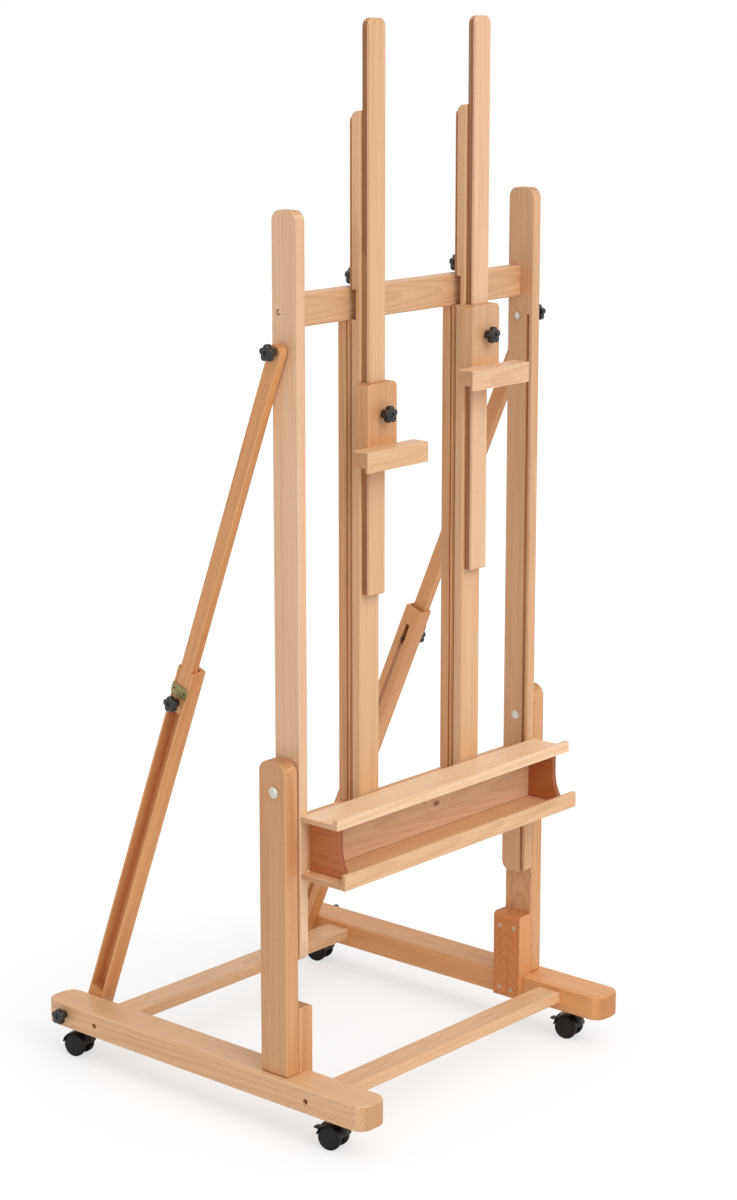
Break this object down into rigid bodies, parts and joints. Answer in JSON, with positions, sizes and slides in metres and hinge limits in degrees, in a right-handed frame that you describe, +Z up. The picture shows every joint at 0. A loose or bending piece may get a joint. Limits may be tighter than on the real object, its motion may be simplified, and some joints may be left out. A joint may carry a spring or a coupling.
{
  "type": "artist easel",
  "caption": "Wheeled wooden studio easel with a tilting frame, telescoping masts, clamping canvas holders, a sliding canvas rest with paint tray and telescoping back struts.",
  "frame": {"origin": "on the floor, at the centre of the footprint", "axes": "+Z up, +X to the right seen from the front, the front of the easel faces -Y"},
  "size_m": [0.8886, 0.895, 2.1605],
  "materials": {
    "beech": "oiled beech, satin",
    "beech_pale": "oiled beech, satin, pale boards",
    "beech_dark": "oiled beech, satin, reddish boards",
    "knob_plastic": "black moulded plastic",
    "caster_plastic": "black moulded plastic",
    "wheel_plastic": "black tyre on a black wheel",
    "bolt_steel": "zinc-plated steel",
    "strap_brass": "yellow-passivated steel strap"
  },
  "bodies": {
    "base": {"foot_left": "beech", "foot_right": "beech", "stretcher_front": "beech", "stretcher_rear": "beech", "post_left": "beech_dark", "post_right": "beech_dark", "post_block_left": "beech_dark", "post_block_right": "beech_dark", "tilt_bolt_left": "bolt_steel", "tilt_bolt_right": "bolt_steel"},
    "tilt_frame": {"side_board_left": "beech_pale", "side_board_right": "beech_pale", "crossbar_upper": "beech", "crossbar_lower": "beech", "mast_spine_left": "beech", "mast_spine_right": "beech", "mast_rail_left": "beech", "mast_rail_right": "beech", "strut_head_bolt_left": "bolt_steel", "strut_head_bolt_right": "bolt_steel"},
    "extension_left": {"mast_extension_left": "beech_pale"},
    "extension_right": {"mast_extension_right": "beech_pale"},
    "holder_left": {"holder_block_left": "beech", "holder_ledge_left": "beech_pale"},
    "holder_right": {"holder_block_right": "beech", "holder_ledge_right": "beech_pale"},
    "tray": {"canvas_rest": "beech_pale", "tray_floor": "beech", "tray_front_lip": "beech", "tray_back": "beech_dark", "tray_end_left": "beech_dark", "tray_end_right": "beech_dark", "tray_runner_left": "beech", "tray_runner_right": "beech"},
    "channel_left": {"strut_channel_left": "beech_dark", "strut_strap_left": "strap_brass"},
    "channel_right": {"strut_channel_right": "beech_dark", "strut_strap_right": "strap_brass"},
    "arm_left": {"strut_arm_left": "beech"},
    "arm_right": {"strut_arm_right": "beech"},
    "holder_knob_left": {"holder_knob_left": "knob_plastic"},
    "holder_knob_right": {"holder_knob_right": "knob_plastic"},
    "mast_knob_left": {"mast_knob_left": "knob_plastic"},
    "mast_knob_right": {"mast_knob_right": "knob_plastic"},
    "lock_knob_left": {"strut_lock_knob_left": "knob_plastic"},
    "lock_knob_right": {"strut_lock_knob_right": "knob_plastic"},
    "head_knob_left": {"strut_head_knob_left": "knob_plastic"},
    "head_knob_right": {"strut_head_knob_right": "knob_plastic"},
    "foot_knob_left": {"strut_foot_knob_left": "knob_plastic"},
    "foot_knob_right": {"strut_foot_knob_right": "knob_plastic"},
    "caster_front_left": {"caster_hood_front_left": "caster_plastic"},
    "caster_front_right": {"caster_hood_front_right": "caster_plastic"},
    "caster_rear_left": {"caster_hood_rear_left": "caster_plastic"},
    "caster_rear_right": {"caster_hood_rear_right": "caster_plastic"},
    "wheels_front_left": {"caster_wheels_front_left": "wheel_plastic"},
    "wheels_front_right": {"caster_wheels_front_right": "wheel_plastic"},
    "wheels_rear_left": {"caster_wheels_rear_left": "wheel_plastic"},
    "wheels_rear_right": {"caster_wheels_rear_right": "wheel_plastic"},
    "brake_front_left": {"caster_brake_front_left": "caster_plastic"},
    "brake_front_right": {"caster_brake_front_right": "caster_plastic"}
  },
  "joints": [
    {"name": "frame_tilt", "type": "hinge", "parent": "base", "child": "tilt_frame", "pos_m": [0, -0.2095, 0.70261], "axis": [-1, 0, 0], "range_deg": [0, 65]},
    {"name": "channel_left_swing", "type": "hinge", "parent": "base", "child": "channel_left", "pos_m": [-0.3208, 0.3875, 0.097], "axis": [-0.9993, -0.0361, -0.0043], "range_deg": [-1, 34]},
    {"name": "channel_right_swing", "type": "hinge", "parent": "base", "child": "channel_right", "pos_m": [0.3208, 0.3875, 0.097], "axis": [-0.9993, 0.0361, 0.0043], "range_deg": [-1, 34]},
    {"name": "arm_left_swing", "type": "hinge", "parent": "tilt_frame", "child": "arm_left", "pos_m": [-0.383, -0.2055, 1.553], "axis": [-0.9993, 0.0278, 0.0234], "range_deg": [-34, 1]},
    {"name": "arm_right_swing", "type": "hinge", "parent": "tilt_frame", "child": "arm_right", "pos_m": [0.383, -0.2055, 1.553], "axis": [-0.9993, -0.0278, -0.0234], "range_deg": [-34, 1]},
    {"name": "extension_left_slide", "type": "slide", "parent": "tilt_frame", "child": "extension_left", "axis": [0, 0, 1], "range_m": [-0.12, 0.2]},
    {"name": "extension_right_slide", "type": "slide", "parent": "tilt_frame", "child": "extension_right", "axis": [0, 0, 1], "range_m": [-0.12, 0.2]},
    {"name": "holder_left_slide", "type": "slide", "parent": "extension_left", "child": "holder_left", "axis": [0, 0, 1], "range_m": [-0.2, 0.3]},
    {"name": "holder_right_slide", "type": "slide", "parent": "extension_right", "child": "holder_right", "axis": [0, 0, 1], "range_m": [-0.2, 0.3]},
    {"name": "tray_slide", "type": "slide", "parent": "tilt_frame", "child": "tray", "axis": [0, 0, 1], "range_m": [-0.12, 0.25]},
    {"name": "holder_knob_left_turn", "type": "hinge", "parent": "holder_left", "child": "holder_knob_left", "pos_m": [-0.1575, -0.28, 1.416], "axis": [0, -1, 0], "continuous": true},
    {"name": "holder_knob_right_turn", "type": "hinge", "parent": "holder_right", "child": "holder_knob_right", "pos_m": [0.1575, -0.28, 1.5375], "axis": [0, -1, 0], "continuous": true},
    {"name": "mast_knob_left_turn", "type": "hinge", "parent": "tilt_frame", "child": "mast_knob_left", "pos_m": [-0.1575, -0.2, 1.675], "axis": [0, 1, 0], "continuous": true},
    {"name": "mast_knob_right_turn", "type": "hinge", "parent": "tilt_frame", "child": "mast_knob_right", "pos_m": [0.1575, -0.2, 1.675], "axis": [0, 1, 0], "continuous": true},
    {"name": "lock_knob_left_turn", "type": "hinge", "parent": "arm_left", "child": "lock_knob_left", "pos_m": [-0.36651, 0.09251, 0.82127], "axis": [-0.9994, 0.0129, -0.0316], "continuous": true},
    {"name": "lock_knob_right_turn", "type": "hinge", "parent": "arm_right", "child": "lock_knob_right", "pos_m": [0.36651, 0.09251, 0.82127], "axis": [0.9994, 0.0129, -0.0316], "continuous": true},
    {"name": "head_knob_left_turn", "type": "hinge", "parent": "tilt_frame", "child": "head_knob_left", "pos_m": [-0.4, -0.2055, 1.553], "axis": [-1, 0, 0], "continuous": true},
    {"name": "head_knob_right_turn", "type": "hinge", "parent": "tilt_frame", "child": "head_knob_right", "pos_m": [0.4, -0.2055, 1.553], "axis": [1, 0, 0], "continuous": true},
    {"name": "foot_knob_left_turn", "type": "hinge", "parent": "base", "child": "foot_knob_left", "pos_m": [-0.43, 0.3875, 0.097], "axis": [-1, 0, 0], "continuous": true},
    {"name": "foot_knob_right_turn", "type": "hinge", "parent": "base", "child": "foot_knob_right", "pos_m": [0.43, 0.3875, 0.097], "axis": [1, 0, 0], "continuous": true},
    {"name": "caster_front_left_swivel", "type": "hinge", "parent": "base", "child": "caster_front_left", "pos_m": [-0.381, -0.3625, 0.06], "axis": [0, 0, 1], "continuous": true},
    {"name": "caster_front_right_swivel", "type": "hinge", "parent": "base", "child": "caster_front_right", "pos_m": [0.381, -0.3625, 0.06], "axis": [0, 0, 1], "continuous": true},
    {"name": "caster_rear_left_swivel", "type": "hinge", "parent": "base", "child": "caster_rear_left", "pos_m": [-0.381, 0.3625, 0.06], "axis": [0, 0, 1], "continuous": true},
    {"name": "caster_rear_right_swivel", "type": "hinge", "parent": "base", "child": "caster_rear_right", "pos_m": [0.381, 0.3625, 0.06], "axis": [0, 0, 1], "continuous": true},
    {"name": "wheels_front_left_roll", "type": "hinge", "parent": "caster_front_left", "child": "wheels_front_left", "pos_m": [-0.38428, -0.34176, 0.025], "axis": [0.9877, 0.1564, 0], "continuous": true},
    {"name": "wheels_front_right_roll", "type": "hinge", "parent": "caster_front_right", "child": "wheels_front_right", "pos_m": [0.37772, -0.34176, 0.025], "axis": [0.9877, 0.1564, 0], "continuous": true},
    {"name": "wheels_rear_left_roll", "type": "hinge", "parent": "caster_rear_left", "child": "wheels_rear_left", "pos_m": [-0.38428, 0.38324, 0.025], "axis": [0.9877, 0.1564, 0], "continuous": true},
    {"name": "wheels_rear_right_roll", "type": "hinge", "parent": "caster_rear_right", "child": "wheels_rear_right", "pos_m": [0.37772, 0.38324, 0.025], "axis": [0.9877, 0.1564, 0], "continuous": true},
    {"name": "brake_front_left_press", "type": "hinge", "parent": "caster_front_left", "child": "brake_front_left", "pos_m": [-0.38428, -0.34176, 0.025], "axis": [0.9877, 0.1564, 0], "range_deg": [0, 14]},
    {"name": "brake_front_right_press", "type": "hinge", "parent": "caster_front_right", "child": "brake_front_right", "pos_m": [0.37772, -0.34176, 0.025], "axis": [0.9877, 0.1564, 0], "range_deg": [0, 14]}
  ],
  "couplings": [
    {"joint": "channel_left_swing", "follows": "frame_tilt", "ratio": 0.5},
    {"joint": "channel_right_swing", "follows": "frame_tilt", "ratio": 0.5},
    {"joint": "arm_left_swing", "follows": "frame_tilt", "ratio": -0.5},
    {"joint": "arm_right_swing", "follows": "frame_tilt", "ratio": -0.5}
  ]
}
